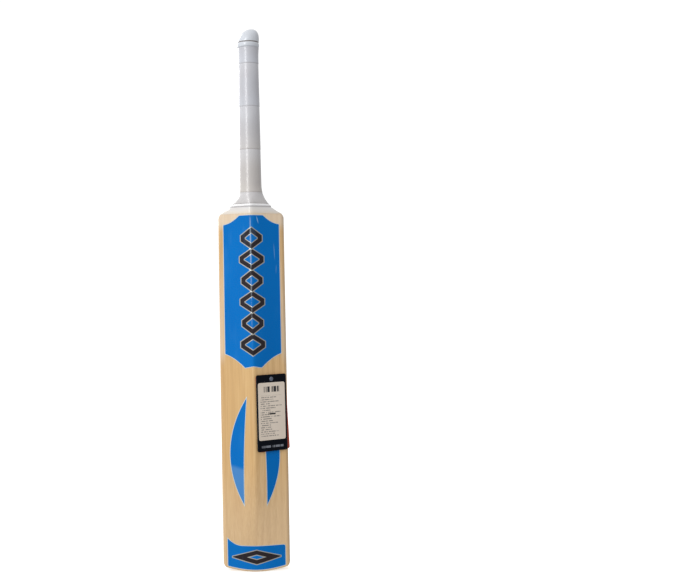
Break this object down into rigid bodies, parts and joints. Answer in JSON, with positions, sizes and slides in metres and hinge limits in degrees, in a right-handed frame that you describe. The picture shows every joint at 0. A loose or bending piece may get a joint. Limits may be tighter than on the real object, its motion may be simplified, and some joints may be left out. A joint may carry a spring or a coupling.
{
  "type": "cricket bat",
  "caption": "Full-size cricket bat: willow blade with a flat face and ridged back, spliced cane handle, rubber grip, blue stickers and a swing tag.",
  "frame": {"origin": "under the middle of the bat, at the lowest point of the toe", "axes": "+Z along the bat to the handle, +Y out of the flat hitting face, ridged back to -Y"},
  "size_m": [0.1083, 0.0634, 0.86],
  "materials": {
    "willow": "lacquered",
    "cane": "raw",
    "spring_rubber": "matte",
    "twine": "waxed",
    "grip_rubber": "satin",
    "cap_rubber": "satin",
    "ring_rubber": "satin",
    "tape": "satin",
    "blue_sticker": "gloss",
    "face_print": "gloss",
    "strip_print": "gloss",
    "white_label": "matte",
    "stud_plastic": "satin",
    "navy_card": "satin",
    "red_card": "satin"
  },
  "bodies": {
    "root": {"blade": "willow", "cane_strip_1_1": "cane", "cane_strip_1_2": "cane", "cane_strip_1_3": "cane", "cane_strip_2_1": "cane", "cane_strip_2_2": "cane", "cane_strip_2_3": "cane", "cane_strip_3_1": "cane", "cane_strip_3_2": "cane", "cane_strip_3_3": "cane", "cane_strip_4_1": "cane", "cane_strip_4_2": "cane", "cane_strip_4_3": "cane", "rubber_spring_1": "spring_rubber", "rubber_spring_2": "spring_rubber", "rubber_spring_3": "spring_rubber", "twine_binding": "twine", "handle_grip": "grip_rubber", "grip_top_ring": "grip_rubber", "handle_end_cap": "cap_rubber", "grip_bottom_ring": "ring_rubber", "shoulder_tape": "tape", "back_sticker": "blue_sticker", "crescent_sticker_left": "blue_sticker", "crescent_sticker_right": "blue_sticker", "toe_sticker": "blue_sticker", "face_sticker": "face_print", "strip_label": "strip_print", "price_label": "white_label", "tag_stud": "stud_plastic"},
    "tag_front": {"tag_front_card": "navy_card", "tag_label": "white_label"},
    "tag_back": {"tag_back_card": "red_card"}
  },
  "joints": [
    {"name": "tag_front_swing", "type": "hinge", "parent": "root", "child": "tag_front", "pos_m": [0.0265, -0.01534, 0.3057], "axis": [0.5075, -0.8616, 0], "range_deg": [-16, 16]},
    {"name": "tag_back_swing", "type": "hinge", "parent": "root", "child": "tag_back", "pos_m": [0.0265, -0.01534, 0.3057], "axis": [0.5075, -0.8616, 0], "range_deg": [-20, 12]}
  ]
}
